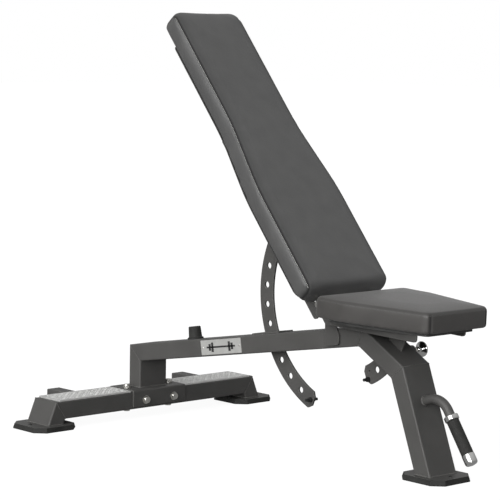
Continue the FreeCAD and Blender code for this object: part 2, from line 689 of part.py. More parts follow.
# The tube ends just short of the cap that closes the grip.
tube_end = along(corner, HANDLE_DOWN, grip_end - 0.2)


def pipe(path, outer, inner):
    """A round tube along a path of the side view, which starts square on the leg's front face."""
    start = path.Edges[0].valueAt(path.Edges[0].FirstParameter)
    direction = path.Edges[0].tangentAt(path.Edges[0].FirstParameter)
    rings = [Part.Wire(Part.makeCircle(radius / 2, start, direction)) for radius in (outer, inner)]
    solid = path.makePipeShell([rings[0]], True, False)
    return solid.cut(path.makePipeShell([rings[1]], True, False))


handle_path = Part.Wire([
    Part.makeLine(handle_root, bend_start),
    Part.Arc(bend_start, bend_half, bend_stop).toShape(),
    Part.makeLine(bend_stop, tube_end)])
handle = pipe(handle_path, size("handle_tube"), size("handle_tube") - 4)
group("handle_tube", [handle])
ALONG_HANDLE = Rotation(Vector(0, 0, 1), Vector(cos(HANDLE_DOWN), 0, sin(HANDLE_DOWN)))


def handle_part(label, steps, start):
    """A turned piece on the handle: steps are (height, radius) up its outside, then its bore."""
    piece = Piece(label)
    piece.revolve("XZ_Plane", rounded([(radius, height) for height, radius in steps]), axis="V_Axis")
    return piece.place(along(corner, HANDLE_DOWN, start), ALONG_HANDLE)


bore = size("handle_tube") / 2 + 0.1
grip = size("grip_diameter") / 2
collar_start = grip_start - size("collar_length")
collar = size("collar_length")
handle_part("handle_collar", [
    (0, bore), (0, grip + 2), (2, grip + 2.8), (collar - 2, grip + 2.8), (collar, grip + 2), (collar, bore)],
    collar_start)
handle_part("handle_grip", [(0.1, bore), (0.1, grip), (size("grip_length") - 0.1, grip),
                            (size("grip_length") - 0.1, bore)], grip_start)
cap = size("cap_length")
handle_part("handle_cap", [
    (0, 0), (0, grip + 0.6), (cap - 4, grip + 0.6), (cap, grip - 3), (cap, 0)], grip_end)

# ---------------------------------------------------------------- pull pins
BARREL = size("housing_length")
CAP_WALL = 3
COLLAR = 4
CAVITY = 20
ROD = size("pin_rod") / 2
PIN = size("pin_diameter") / 2
TRAVEL = size("pin_travel")
TIP_CLEAR = size("pin_play") + size("arc_thick") / 2
pins = {"backrest": back_pin, "seat": seat_pin}
# Each spring is drawn fully pressed, as its turns lie on each other under the cap.
SPRING_WIRE = 1.2
springs = []
for name, spot in pins.items():
    housing = Piece(f"{name}_pin_housing")
    housing.revolve("XZ_Plane", rounded([
        (0, CAVITY / 2), (0, size("housing_diameter") / 2 + 3), (3, size("housing_diameter") / 2),
        (BARREL - 2, size("housing_diameter") / 2), (BARREL, size("housing_diameter") / 2 - 2),
        (BARREL, ROD + 0.08), (BARREL - CAP_WALL, ROD + 0.08), (BARREL - CAP_WALL, CAVITY / 2)]))
    housing.place(spot + Vector(0, HALF, 0), Rotation(Vector(0, 0, 1), 90))
    # Stored pulled out, with the tip just clear of the curved plate.
    plunger = Piece(f"{name}_pin_plunger")
    shoulder_at = HALF + BARREL - CAP_WALL - 5 - COLLAR - 0.3
    rod_end = HALF + BARREL + TRAVEL + 12
    plunger.revolve("XZ_Plane", rounded([
        (TIP_CLEAR, 0), (TIP_CLEAR, PIN - 2), (TIP_CLEAR + 2, PIN), (shoulder_at, PIN),
        (shoulder_at, CAVITY / 2 - 0.3), (shoulder_at + COLLAR, CAVITY / 2 - 0.3),
        (shoulder_at + COLLAR, ROD), (rod_end, ROD), (rod_end, 0)]))
    plunger.place(spot, Rotation(Vector(0, 0, 1), 90))
    knob = Piece(f"{name}_pin_knob")
    start = HALF + BARREL + TRAVEL + 1
    rim = size("knob_diameter") / 2
    tall = size("knob_length")
    knob.revolve("XZ_Plane", rounded([
        (start, ROD + 0.05), (start, 7.5), (start + tall * 0.35, 7.5, 14), (start + tall - 6, rim, 1.5),
        (start + tall - 3, rim, 1.5), (start + tall, rim * 0.7, 6), (start + tall, 0),
        (rod_end + 0.1, 0), (rod_end + 0.1, ROD + 0.05)]))
    knob.place(spot, Rotation(Vector(0, 0, 1), 90))
    for turn in range(3):
        coil = Part.makeTorus(ROD + 2.4, SPRING_WIRE / 2)
        depth = BARREL - CAP_WALL - SPRING_WIRE * (0.55 + 1.1 * turn)
        springs.append(moved(coil, spot + Vector(0, HALF + depth, 0), TO_RIGHT))
group("pin_springs", springs)

# ---------------------------------------------------------------- backrest
# Local frame of the backrest: x up along it from the hinge, z out of its back.
BACK_TURN = Rotation(Vector(0, 1, 0), 180 + size("back_angle"))
FACE = -size("back_face")
PANEL = FACE + size("back_pad_thick")
RAIL = PANEL + size("back_panel_thick")
low_half = size("back_low_half")
head_half = size("back_head_half")


def back_outline(start, stop, inset, corner_low, corner_head):
    """Backrest outline, seen from the front: a wide lower part that narrows to the head."""
    low_y = low_half - inset
    head_y = head_half - inset
    sweep = 650
    return rounded([
        (start, -low_y, corner_low), (size("back_flare_start"), -low_y, sweep),
        (size("back_flare_end"), -head_y, sweep), (stop, -head_y, corner_head),
        (stop, head_y, corner_head), (size("back_flare_end"), head_y, sweep),
        (size("back_flare_start"), low_y, sweep), (start, low_y, corner_low)])


def across_top(edge, height):
    return all(abs(end.Point.z - height) < 0.01 for end in edge.Vertexes)


# Screws that hold the pads go through the rails' inward flanges.
PAD_SCREW = 8
SCREW_IN = 16
BACK_SCREW_Y = BACK_IN + EAR / 2 - SCREW_IN
SEAT_SCREW_Y = SEAT_IN + EAR / 2 - SCREW_IN
BACK_SCREWS = (110, 400, size("back_rail_end") - 40)
SEAT_SCREWS = (120, size("seat_rail_end") - 44)


def screw_holes(places, reach, sides):
    """Clearance holes for the pad screws, on one or both sides of the middle."""
    return [disc(x, side * reach, PAD_SCREW + 0.4)[0] for x in places for side in sides]


back_pad = Piece("backrest_pad")
back_pad.pad("XY_Plane", back_outline(size("back_start"), size("back_end"), 0, 30, 38),
             cell("back_pad_thick"), offset=FACE)
back_pad.fillet(cell("pad_edge"), lambda edge: across_top(edge, FACE))
back_pad.pocket("XY_Plane", screw_holes(BACK_SCREWS, BACK_SCREW_Y, (-1, 1)), cell("screw_grip"),
                offset=PANEL, both=False)
back_pad.place(HINGE, BACK_TURN)

panel = Piece("backrest_panel")
panel.pad("XY_Plane", back_outline(size("back_start") + 14, size("back_panel_end"), 1.5, 26, 14),
          cell("back_panel_thick"), offset=PANEL)
panel.pocket("XY_Plane", screw_holes(BACK_SCREWS, BACK_SCREW_Y, (-1, 1)), "4 * Sizes.back_panel_thick",
             offset=PANEL)
panel.place(HINGE, BACK_TURN)

rail_low = RAIL + size("back_rail_depth")
ear = size("ear_round")
for side, name in ((-1, "right"), (1, "left")):
    rail = Piece(f"backrest_rail_{name}")
    rail.pad("XZ_Plane", rounded([
        (size("back_rail_end"), RAIL), (size("back_rail_end"), rail_low, 8), (-22, rail_low, 9),
        (-22, 12, 12), (-ear, -ear, ear - 0.1), (ear, -ear, ear - 0.1), (ear, RAIL, 3)])
        + disc(0, 0, BOLT_BORE), cell("ear_thick"), both=True)
    inner = -side * size("rail_flange")
    edge_y = -side * EAR / 2
    rail.pad("XY_Plane", rounded([
        (60, edge_y), (size("back_rail_end") - 10, edge_y), (size("back_rail_end") - 10, inner, 8),
        (60, inner, 8)]), cell("ear_thick"), offset=RAIL)
    rail.pocket("XY_Plane", screw_holes(BACK_SCREWS, -SCREW_IN, (side,)), "4 * Sizes.ear_thick", offset=RAIL)
    rail.place(HINGE + Vector(0, side * (BACK_IN + EAR / 2), 0), BACK_TURN)

CROSS_WALL = 2
cross = Piece("backrest_cross_tube")
cross_z = RAIL + EAR + size("back_cross_depth") / 2
cross_half = size("cross_width") / 2
cross_x = ARC_RADIUS - size("back_cross_in")
half_deep = size("back_cross_depth") / 2
cross.pad("XZ_Plane", rounded([
    (cross_x - cross_half, cross_z - half_deep, 3), (cross_x + cross_half, cross_z - half_deep, 3),
    (cross_x + cross_half, cross_z + half_deep, 3), (cross_x - cross_half, cross_z + half_deep, 3)]),
    "2 * (Sizes.back_rail_out - Sizes.ear_thick)", both=True)
bore_half = cross_half - CROSS_WALL
bore_deep = half_deep - CROSS_WALL
cross.pocket("XZ_Plane", rounded([
    (cross_x - bore_half, cross_z - bore_deep), (cross_x + bore_half, cross_z - bore_deep),
    (cross_x + bore_half, cross_z + bore_deep), (cross_x - bore_half, cross_z + bore_deep)]),
    "2 * Sizes.back_rail_out")
cross.place(HINGE, BACK_TURN)

# Curved plate: a band around the hinge line with one hole for each backrest angle.
arc_pin = (pin_angle + 180 + size("back_angle")) % 360
PITCH = size("hole_pitch")
ARC_TOP = cross_z + half_deep
arc_low = arc_pin + size("arc_tail")
arc_high = math.degrees(math.asin(ARC_TOP / ARC_RADIUS)) - 5


def band_outline(radius, width, start, stop, nose):
    """A curved plate that ends in a nose with two cut corners."""
    inner = radius - width / 2
    outer = radius + width / 2

    def at(reach, angle):
        return Vector(reach * cos(angle), reach * sin(angle), 0)

    way = 1 if stop > start else -1
    back = stop - way * nose
    half = (start + back) / 2
    tip_outer = at(radius + width / 4, stop)
    tip_inner = at(radius - width / 4, stop)
    return [
        Part.Arc(at(outer, start), at(outer, half), at(outer, back)),
        Part.LineSegment(at(outer, back), tip_outer),
        Part.LineSegment(tip_outer, tip_inner),
        Part.LineSegment(tip_inner, at(inner, back)),
        Part.Arc(at(inner, back), at(inner, half), at(inner, start)),
        Part.LineSegment(at(inner, start), at(outer, start)),
    ]


def hole_row(radius, angles, diameter):
    return [disc(radius * cos(angle), radius * sin(angle), diameter)[0] for angle in angles]


HOLE = size("pin_diameter") + size("hole_play")
STOP_BOLT = 8
STOP_REACH = 17
STOP_NUT = 6.5
SMALL_FLATS = 13
arc_holes = hole_row(ARC_RADIUS, [arc_pin + PITCH * step for step in range(-5, 4)], HOLE)
arc_stop = arc_low - 1.9
arc = Piece("arc_ladder")
arc.pad("XZ_Plane", band_outline(ARC_RADIUS, size("arc_width"), arc_high, arc_low, 2)
        + arc_holes + hole_row(ARC_RADIUS, [arc_stop], STOP_BOLT + 0.4),
        cell("arc_thick"), both=True)
# Both plates end flat against their cross tubes: what stands over that line is cut off.
near = ARC_RADIUS - 1.5 * size("arc_width")
far = ARC_RADIUS + 1.5 * size("arc_width")
arc.pocket("XZ_Plane", rounded([(near, ARC_TOP - 60), (far, ARC_TOP - 60), (far, ARC_TOP), (near, ARC_TOP)]),
           "Sizes.arc_thick * 3")
arc.place(HINGE, BACK_TURN)


def stop_bolt(label, radius, angle, thick, turn):
    """A bolt across a curved plate, which stops the plate from leaving its slot."""
    length = thick + 2 * STOP_REACH
    shape = Part.makeCylinder(STOP_BOLT / 2, length, Vector(0, 0, -length / 2))
    for side in (-1, 1):
        nut = hexagon(SMALL_FLATS, STOP_NUT, STOP_BOLT)
        shape = shape.fuse(moved(nut, Vector(0, 0, side * thick / 2), DOWN if side < 0 else None))
    local = Placement(Vector(radius * cos(angle), 0, radius * sin(angle)), TO_RIGHT)
    placed = Placement(HINGE, turn).multiply(local)
    feature = doc.addObject("Part::Feature", label)
    feature.Shape = shape.removeSplitter()
    keep(feature, label, placed.Base, placed.Rotation)


stop_bolt("arc_stop_bolt", ARC_RADIUS, arc_stop, size("arc_thick"), BACK_TURN)


def pad_screws(label, places, reach, head_at, length, turn, flip):
    """Hexagon screws that hold a pad, with their heads against the rails' flanges."""
    solids = []
    for x in places:
        for side in (-1, 1):
            place = Placement(Vector(x, side * reach, head_at), flip)
            screw = bolt(length, PAD_SCREW, SMALL_FLATS)
            screw.Placement = Placement(HINGE, turn).multiply(place)
            solids.append(screw)
    group(label, solids)


pad_screws("backrest_screws", BACK_SCREWS, BACK_SCREW_Y, RAIL + EAR,
           EAR + size("back_panel_thick") + size("screw_grip") - 1, BACK_TURN, Rotation())

# ---------------------------------------------------------------- seat
# Local frame of the seat: x forward from the hinge, z up out of the seat.
SEAT_TURN = Rotation(Vector(0, 1, 0), size("seat_droop"))
SEAT_FACE = size("seat_face")
SEAT_LOW = SEAT_FACE - size("seat_pad_thick")
SEAT_RAIL = SEAT_LOW - size("seat_board_thick")


def seat_outline(inset, corner_rear, corner_front):
    """Seat outline from above: parallel at the rear, then tapering to the front."""
    wide_y = size("seat_wide_half") - inset
    narrow_y = size("seat_narrow_half") - inset
    start = size("seat_start") + inset
    stop = size("seat_end") - inset
    taper = size("seat_taper_start")
    return rounded([
        (start, -wide_y, corner_rear), (taper, -wide_y, 160), (stop, -narrow_y, corner_front),
        (stop, narrow_y, corner_front), (taper, wide_y, 160), (start, wide_y, corner_rear)])


seat_pad = Piece("seat_pad")
seat_pad.pad("XY_Plane", seat_outline(0, 22, 22), cell("seat_pad_thick"), offset=SEAT_LOW)
seat_pad.fillet(cell("pad_edge"), lambda edge: across_top(edge, SEAT_FACE))
seat_pad.place(HINGE, SEAT_TURN)

board = Piece("seat_board")
board.pad("XY_Plane", seat_outline(size("seat_board_inset"), 20, 14), cell("seat_board_thick"),
          offset=SEAT_RAIL)
board.pocket("XY_Plane", screw_holes(SEAT_SCREWS, SEAT_SCREW_Y, (-1, 1)), "2 * Sizes.seat_board_thick - 2",
             offset=SEAT_RAIL)
board.place(HINGE, SEAT_TURN)

seat_low = SEAT_RAIL - size("seat_rail_depth")
for side, name in ((-1, "right"), (1, "left")):
    rail = Piece(f"seat_rail_{name}")
    rail.pad("XZ_Plane", rounded([
        (size("seat_rail_end"), SEAT_RAIL), (44, SEAT_RAIL, 6), (ear, -14, 14), (ear, ear, ear - 0.1),
        (-ear, ear, ear - 0.1), (-ear, -16, 8), (16, seat_low, 6), (size("seat_rail_end"), seat_low, 9)])
        + disc(0, 0, BOLT_BORE), cell("ear_thick"), both=True)
    inner = -side * size("rail_flange")
    edge_y = -side * EAR / 2
    rail.pad("XY_Plane", rounded([
        (80, edge_y), (size("seat_rail_end") - 14, edge_y), (size("seat_rail_end") - 14, inner, 8),
        (80, inner, 8)]), cell("ear_thick"), offset=SEAT_RAIL - EAR)
    rail.pocket("XY_Plane", screw_holes(SEAT_SCREWS, -SCREW_IN, (side,)), "4 * Sizes.ear_thick",
                offset=SEAT_RAIL)
    rail.place(HINGE + Vector(0, side * (SEAT_IN + EAR / 2), 0), SEAT_TURN)

seat_cross = Piece("seat_cross_tube")
cross_x = SELECTOR_RADIUS - size("seat_cross_in")
cross_top = SEAT_RAIL - EAR
cross_low = cross_top - size("seat_cross_depth")
seat_cross.pad("XZ_Plane", rounded([
    (cross_x - cross_half, cross_low, 2), (cross_x + cross_half, cross_low, 2),
    (cross_x + cross_half, cross_top, 2), (cross_x - cross_half, cross_top, 2)]),
    "2 * (Sizes.seat_rail_out - Sizes.ear_thick)", both=True)
seat_cross.pocket("XZ_Plane", rounded([
    (cross_x - bore_half, cross_low + CROSS_WALL), (cross_x + bore_half, cross_low + CROSS_WALL),
    (cross_x + bore_half, cross_top - CROSS_WALL), (cross_x - bore_half, cross_top - CROSS_WALL)]),
    "2 * Sizes.seat_rail_out")
seat_cross.place(HINGE, SEAT_TURN)

seat_hole = seat_pin_angle + size("seat_droop")
selector_low = seat_hole - size("selector_tail")
selector_high = math.degrees(math.asin(cross_low / SELECTOR_RADIUS)) + 8
selector_stop = selector_low + 2
selector = Piece("seat_selector")
selector.pad("XZ_Plane", band_outline(SELECTOR_RADIUS, size("selector_width"), selector_high,
                                      selector_low, 3)
             + hole_row(SELECTOR_RADIUS, [seat_hole - PITCH * step for step in range(3)], HOLE)
             + hole_row(SELECTOR_RADIUS + 11, [selector_stop], STOP_BOLT + 0.4)
             + hole_row(SELECTOR_RADIUS - 8, [seat_hole - PITCH * 2 - 7.6], 6),
             cell("selector_thick"), both=True)
near = SELECTOR_RADIUS - 1.5 * size("selector_width")
far = SELECTOR_RADIUS + 1.5 * size("selector_width")
selector.pocket("XZ_Plane", rounded([
    (near, cross_low), (far, cross_low), (far, cross_low + 80), (near, cross_low + 80)]),
    "Sizes.selector_thick * 3")
selector.place(HINGE, SEAT_TURN)
stop_bolt("selector_stop_bolt", SELECTOR_RADIUS + 11, selector_stop, size("selector_thick"),
          SEAT_TURN)

pad_screws("seat_screws", SEAT_SCREWS, SEAT_SCREW_Y, SEAT_RAIL - EAR, EAR + size("seat_board_thick") - 2,
           SEAT_TURN, DOWN)

# ---------------------------------------------------------------- origin, checks and files
doc.recompute()
box = FreeCAD.BoundBox()
for part in parts:
    box.add(part.Shape.BoundBox)
middle = Vector(box.Center.x, box.Center.y, box.ZMin)
for part in parts:
    part.Placement = Placement(part.Placement.Base - middle, part.Placement.Rotation)
doc.recompute()

for thing in doc.Objects:
    if "Invalid" in thing.State or "Error" in thing.State:
        raise ValueError(f"{thing.Name} failed: {thing.State}")
os.makedirs("parts", exist_ok=True)
for part in parts:
    if part.Shape.isNull() or not part.Shape.isValid():
        raise ValueError(f"{part.Label} has no valid shape")
    part.Shape.exportStep(os.path.join("parts", f"{part.Label}.step"))
print(len(parts), "parts; origin moved by", middle)
print("hinge", HINGE - middle, "backrest pin", back_pin - middle, "seat pin", seat_pin - middle)
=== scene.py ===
import math
import bpy
import numpy as np
from mathutils import Matrix, Vector
from mathutils.geometry import convex_hull_2d


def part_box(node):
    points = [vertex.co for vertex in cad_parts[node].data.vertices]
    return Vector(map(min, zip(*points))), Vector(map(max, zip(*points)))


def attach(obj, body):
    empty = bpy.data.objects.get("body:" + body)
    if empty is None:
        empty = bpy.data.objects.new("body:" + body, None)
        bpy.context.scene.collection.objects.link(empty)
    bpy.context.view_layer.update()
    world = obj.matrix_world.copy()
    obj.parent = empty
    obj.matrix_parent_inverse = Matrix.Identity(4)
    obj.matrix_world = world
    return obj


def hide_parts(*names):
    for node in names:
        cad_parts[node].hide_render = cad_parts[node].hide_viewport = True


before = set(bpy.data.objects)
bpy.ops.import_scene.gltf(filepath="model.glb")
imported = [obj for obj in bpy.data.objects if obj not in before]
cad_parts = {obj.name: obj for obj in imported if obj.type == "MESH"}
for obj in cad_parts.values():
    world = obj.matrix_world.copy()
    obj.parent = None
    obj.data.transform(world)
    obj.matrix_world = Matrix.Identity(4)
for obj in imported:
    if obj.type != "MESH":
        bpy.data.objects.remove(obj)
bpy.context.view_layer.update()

# ---- Room: a plain white floor and a white surround. Two broad soft lights shine on the bench's right
# side, a narrower one comes from the camera's side, and a weak one lights its back. The camera stands
# ahead of the bench, to its right, and looks slightly down at it.
HINGE = (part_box("pivot_sleeve")[0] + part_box("pivot_sleeve")[1]) / 2
EYE = HINGE + Vector((3.76648, -3.81152, 0.6935))
HEADING = math.radians(47.39)
DIP = math.radians(6.01)
ROLL = math.radians(1.04)

view = Vector((-math.sin(HEADING) * math.cos(DIP), math.cos(HEADING) * math.cos(DIP), -math.sin(DIP)))
level = Vector((math.cos(HEADING), math.sin(HEADING), 0))
rise = level.cross(view)
right = math.cos(ROLL) * level + math.sin(ROLL) * rise
up = math.cos(ROLL) * rise - math.sin(ROLL) * level
bpy.ops.object.camera_add()
camera = bpy.context.object
camera.name = "camera"
camera.data.lens = 149.02
camera.data.sensor_width = 36
camera.data.clip_end = 100
camera.matrix_world = Matrix((
    (right.x, up.x, -view.x, EYE.x),
    (right.y, up.y, -view.y, EYE.y),
    (right.z, up.z, -view.z, EYE.z),
    (0, 0, 0, 1)))
bpy.context.scene.camera = camera
bpy.context.scene.view_settings.view_transform = "Standard"


def soft_light(name, energy, spread, way):
    """A far, wide light that shines along a direction."""
    bpy.ops.object.light_add(type="SUN", location=(0, 0, 4))
    light = bpy.context.object
    light.name = name
    light.data.energy = energy
    light.data.angle = math.radians(spread)
    light.rotation_euler = Vector(way).to_track_quat("-Z", "Y").to_euler()
    return light


soft_light("window_high", 2.8, 50, (-0.2, 0.84, -0.46))
soft_light("window_low", 1.7, 50, (-0.05, 0.97, -0.08)).visible_glossy = False
soft_light("camera_side", 1.05, 14, (-0.72, 0.66, -0.2))
soft_light("rear_fill", 1.2, 30, (0.74, -0.66, -0.06)).visible_glossy = False

# The surround is white to the eye. Its light on the bench comes mostly from above, and so does what
# the bench reflects of it.
world = bpy.data.worlds.new("surround")
bpy.context.scene.world = world
world.use_nodes = True
sky = world.node_tree
backdrop = sky.nodes["Background"]
backdrop.inputs["Color"].default_value = (1, 1, 1, 1)
place = sky.nodes.new("ShaderNodeTexCoord")
height = sky.nodes.new("ShaderNodeSeparateXYZ")
sky.links.new(place.outputs["Generated"], height.inputs["Vector"])
glow = sky.nodes.new("ShaderNodeMapRange")
glow.inputs["From Min"].default_value = -0.1
glow.inputs["From Max"].default_value = 0.9
glow.inputs["To Min"].default_value = 0.03
glow.inputs["To Max"].default_value = 0.72
sky.links.new(height.outputs["Z"], glow.inputs["Value"])
shine = sky.nodes.new("ShaderNodeMapRange")
shine.inputs["From Min"].default_value = 0.0
shine.inputs["From Max"].default_value = 0.8
shine.inputs["To Min"].default_value = 0.3
shine.inputs["To Max"].default_value = 0.6
sky.links.new(height.outputs["Z"], shine.inputs["Value"])
ray = sky.nodes.new("ShaderNodeLightPath")
lit = sky.nodes.new("ShaderNodeMix")
sky.links.new(ray.outputs["Is Glossy Ray"], lit.inputs["Factor"])
sky.links.new(glow.outputs["Result"], lit.inputs["A"])
sky.links.new(shine.outputs["Result"], lit.inputs["B"])
amount = sky.nodes.new("ShaderNodeMix")
amount.inputs["B"].default_value = 1.0
sky.links.new(ray.outputs["Is Camera Ray"], amount.inputs["Factor"])
sky.links.new(lit.outputs["Result"], amount.inputs["A"])
sky.links.new(amount.outputs["Result"], backdrop.inputs["Strength"])

bpy.ops.mesh.primitive_plane_add(size=60)
floor = bpy.context.object
floor.name = "floor"
floor.visible_diffuse = False
floor.visible_glossy = False
paint = bpy.data.materials.new("floor_white")
paint.use_nodes = True
skin = paint.node_tree.nodes["Principled BSDF"]
skin.inputs["Base Color"].default_value = (0.1, 0.1, 0.1, 1)
skin.inputs["Roughness"].default_value = 0.9
skin.inputs["Specular IOR Level"].default_value = 0.0
skin.inputs["Emission Color"].default_value = (1, 1, 1, 1)
skin.inputs["Emission Strength"].default_value = 0.94
floor.data.materials.append(paint)

# ---- Steelwork: welded rectangular tube and cut plate, blasted and finished in black powder
# coat. The coat has a fine orange-peel texture, and its edges carry a slightly lighter painted highlight.


def finish(name, colour, roughness, metallic=0.0, patch=12.0, shift=0.25, grain=900.0, depth=0.00006,
           edge=None, highlight_width=0.0025, specular=0.5):
    """A procedural finish: mottled colour and gloss, fine grain, and edges lightened by a painted highlight.
    """
    material = bpy.data.materials.new(name)
    material.use_nodes = True
    tree = material.node_tree
    shader = tree.nodes["Principled BSDF"]
    shader.inputs["Metallic"].default_value = metallic
    shader.inputs["Specular IOR Level"].default_value = specular
    place = tree.nodes.new("ShaderNodeTexCoord")
    mottle = tree.nodes.new("ShaderNodeTexNoise")
    mottle.inputs["Scale"].default_value = patch
    mottle.inputs["Detail"].default_value = 6
    tree.links.new(place.outputs["Object"], mottle.inputs["Vector"])
    tone = tree.nodes.new("ShaderNodeValToRGB")
    tone.color_ramp.elements[0].position = 0.3
    tone.color_ramp.elements[1].position = 0.7
    tone.color_ramp.elements[0].color = (*[c * (1 - shift) for c in colour], 1)
    tone.color_ramp.elements[1].color = (*[min(1, c * (1 + shift)) for c in colour], 1)
    tree.links.new(mottle.outputs["Fac"], tone.inputs["Fac"])
    colour_out = tone.outputs["Color"]
    gloss = tree.nodes.new("ShaderNodeMapRange")
    gloss.inputs["To Min"].default_value = roughness * 0.85
    gloss.inputs["To Max"].default_value = min(1, roughness * 1.15)
    tree.links.new(mottle.outputs["Fac"], gloss.inputs["Value"])
    tree.links.new(gloss.outputs["Result"], shader.inputs["Roughness"])
    peel = tree.nodes.new("ShaderNodeTexNoise")
    peel.inputs["Scale"].default_value = grain
    peel.inputs["Detail"].default_value = 3
    tree.links.new(place.outputs["Object"], peel.inputs["Vector"])
    bump = tree.nodes.new("ShaderNodeBump")
    bump.inputs["Strength"].default_value = 0.6
    bump.inputs["Distance"].default_value = depth
    tree.links.new(peel.outputs["Fac"], bump.inputs["Height"])
    tree.links.new(bump.outputs["Normal"], shader.inputs["Normal"])
    # Painted highlight: the colour turns lighter near edges, where the bevelled normal leaves the flat one.
    if edge:
        soft = tree.nodes.new("ShaderNodeBevel")
        soft.samples = 4
        soft.inputs["Radius"].default_value = highlight_width
        flat = tree.nodes.new("ShaderNodeNewGeometry")
        match = tree.nodes.new("ShaderNodeVectorMath")
        match.operation = "DOT_PRODUCT"
        tree.links.new(soft.outputs["Normal"], match.inputs[0])
        tree.links.new(flat.outputs["Normal"], match.inputs[1])
        edge_highlight_mask = tree.nodes.new("ShaderNodeMapRange")
        edge_highlight_mask.inputs["From Min"].default_value = 0.99
        edge_highlight_mask.inputs["From Max"].default_value = 0.8
        edge_highlight_mask.inputs["To Max"].default_value = 0.8
        tree.links.new(match.outputs["Value"], edge_highlight_mask.inputs["Value"])
        edge_highlight_mix = tree.nodes.new("ShaderNodeMix")
        edge_highlight_mix.data_type = "RGBA"
        edge_highlight_mix.inputs["B"].default_value = (*edge, 1)
        tree.links.new(edge_highlight_mask.outputs["Result"], edge_highlight_mix.inputs["Factor"])
        tree.links.new(colour_out, edge_highlight_mix.inputs["A"])
        colour_out = edge_highlight_mix.outputs["Result"]
        tree.links.new(soft.outputs["Normal"], bump.inputs["Normal"])
    tree.links.new(colour_out, shader.inputs["Base Color"])
    return material


def wear(material, *nodes):
    """Gives CAD nodes a finish."""
    for name in nodes:
        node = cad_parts[name]
        node.data.materials.clear()
        node.data.materials.append(material)


powder = finish("black_powder_coat", (0.054, 0.053, 0.051), 0.45, shift=0.1, edge=(0.14, 0.138, 0.13),
                specular=0.3)
wear(powder, "rear_crossbar", "rear_leg_left", "rear_leg_right", "rear_saddle", "main_post", "main_beam",
     "slot_plate", "pivot_plate_left", "pivot_plate_right", "leg_shoulder", "front_leg", "handle_tube",
     "wheel_fork_left", "wheel_fork_right", "foot_plates", "backrest_pin_housing", "seat_pin_housing",
     "backrest_rail_left", "backrest_rail_right", "backrest_cross_tube", "arc_ladder", "seat_rail_left",
     "seat_rail_right", "seat_cross_tube", "seat_selector")


def coordinates(mesh):
    """A mesh's points as rows of numbers."""
    co = np.zeros(len(mesh.vertices) * 3)
    mesh.vertices.foreach_get("co", co)
    return co.reshape(-1, 3)


def joint_line(name, other=None, along=None, step=0.0024):
    """Evenly spaced points round a tube, where it meets another one or where it ends."""
    points = coordinates(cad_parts[name].data)
    if other:
        near = coordinates(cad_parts[other].data)
        low = near.min(0) - 0.001
        high = near.max(0) + 0.001
        points = points[((points > low) & (points < high)).all(1)]
        gap = np.array([np.abs(near - point).sum(1).min() for point in points])
        points = points[gap < 0.0003]
    else:
        reach = points @ np.array(along)
        points = points[reach > reach.max() - 0.0003]
    middle = points.mean(0)
    sides = np.linalg.svd(points - middle)[2]
    flat = (points - middle) @ sides[:2].T
    hull = flat[convex_hull_2d([Vector(spot) for spot in flat])]
    hull = np.vstack([hull, hull[:1]])
    run = np.concatenate([[0], np.cumsum(np.linalg.norm(np.diff(hull, axis=0), axis=1))])
    steps = np.linspace(0, run[-1], int(run[-1] / step), endpoint=False)
    spots = np.column_stack([np.interp(steps, run, hull[:, i]) for i in (0, 1)])
    return spots @ sides[:2] + middle


def rows_of(name, one, turns, body, material):
    """Copies one small piece to each place, each with its own mesh, and joins them into one piece."""
    bpy.ops.object.select_all(action="DESELECT")
    for turn in turns:
        copy = one.copy()
        copy.data = one.data.copy()
        copy.data.transform(turn)
        bpy.context.collection.objects.link(copy)
        copy.select_set(True)
    bpy.context.view_layer.objects.active = copy
    bpy.ops.object.join()
    row = bpy.context.object
    row.name = name
    row.data.materials.clear()
    row.data.materials.append(material)
    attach(row, body)
    return row


def discard(one):
    """Removes a small piece once its copies are made."""
    bpy.data.objects.remove(one, do_unlink=True)


def facing(spot, normal, run):
    """The turn that takes a piece's Z to a normal and its X to a run, at a spot."""
    normal = Vector(normal).normalized()
    run = Vector(run)
    run = (run - run.dot(normal) * normal).normalized()
    across = normal.cross(run)
    turn = Matrix((run, across, normal)).transposed().to_4x4()
    return Matrix.Translation(Vector(spot)) @ turn


# One ripple of a weld bead, a flat scale as long as it is wide.
bpy.ops.object.select_all(action="DESELECT")
bpy.ops.mesh.primitive_uv_sphere_add(segments=10, ring_count=6, radius=1)
ripple = bpy.context.object
bpy.ops.object.mode_set(mode="EDIT")
bpy.ops.mesh.select_all(action="SELECT")
bpy.ops.transform.resize(value=(1.0, 1.25, 0.7))
bpy.ops.transform.rotate(value=math.radians(14), orient_axis="Y", center_override=(0, 0, 0))
bpy.ops.object.mode_set(mode="OBJECT")
bpy.ops.object.shade_smooth()


def weld(name, spots, bead):
    """A bead of overlapping ripples round a closed joint."""
    middle = Vector(spots.mean(0))
    turns = []
    for index, spot in enumerate(spots):
        ahead = Vector(spots[(index + 1) % len(spots)]) - Vector(spot)
        swell = bead * (1 + 0.12 * math.sin(index * 2.3))
        turns.append(facing(spot, Vector(spot) - middle, ahead) @ Matrix.Scale(swell, 4))
    rows_of(name, ripple, turns, "frame", powder)


